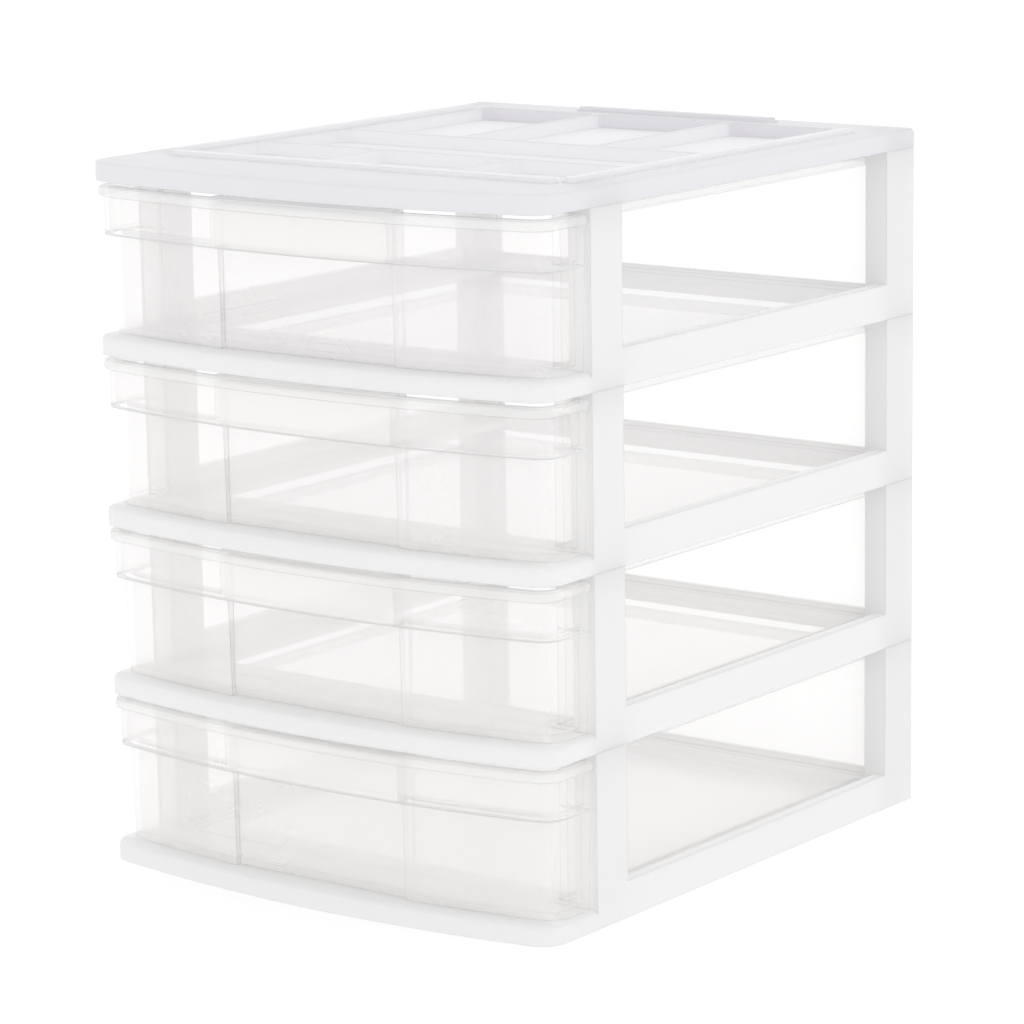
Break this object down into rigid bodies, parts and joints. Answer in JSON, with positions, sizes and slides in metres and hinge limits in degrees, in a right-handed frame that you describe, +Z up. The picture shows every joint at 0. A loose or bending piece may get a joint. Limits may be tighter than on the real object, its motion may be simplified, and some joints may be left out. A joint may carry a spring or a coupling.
{
  "type": "desktop mini drawers",
  "caption": "Stacking desktop drawer set with bowed-front white frames, clear sliding drawers with frosted pulls, and a pocketed organiser top.",
  "frame": {"origin": "middle of the overall width and depth, on the underside of the lowest frame", "axes": "+X to the right seen from the front, +Y to the rear (the drawers open towards -Y), +Z up"},
  "size_m": [0.1938, 0.2328, 0.2484],
  "materials": {
    "frame_white": "satin white, moulded",
    "top_white": "satin white, slightly cooler",
    "clear_plastic": "clear, polished; frosted on the pull panel"
  },
  "bodies": {
    "carcass": {"tier_frame_1": "frame_white", "tier_frame_2": "frame_white", "tier_frame_3": "frame_white", "tier_frame_4": "frame_white", "organiser_top": "top_white"},
    "drawer_1": {"drawer_1": "clear_plastic"},
    "drawer_2": {"drawer_2": "clear_plastic"},
    "drawer_3": {"drawer_3": "clear_plastic"},
    "drawer_4": {"drawer_4": "clear_plastic"}
  },
  "joints": [
    {"name": "drawer_1_slide", "type": "slide", "parent": "carcass", "child": "drawer_1", "axis": [0, -1, 0], "range_m": [0, 0.15]},
    {"name": "drawer_2_slide", "type": "slide", "parent": "carcass", "child": "drawer_2", "axis": [0, -1, 0], "range_m": [0, 0.15]},
    {"name": "drawer_3_slide", "type": "slide", "parent": "carcass", "child": "drawer_3", "axis": [0, -1, 0], "range_m": [0, 0.15]},
    {"name": "drawer_4_slide", "type": "slide", "parent": "carcass", "child": "drawer_4", "axis": [0, -1, 0], "range_m": [0, 0.15]}
  ]
}
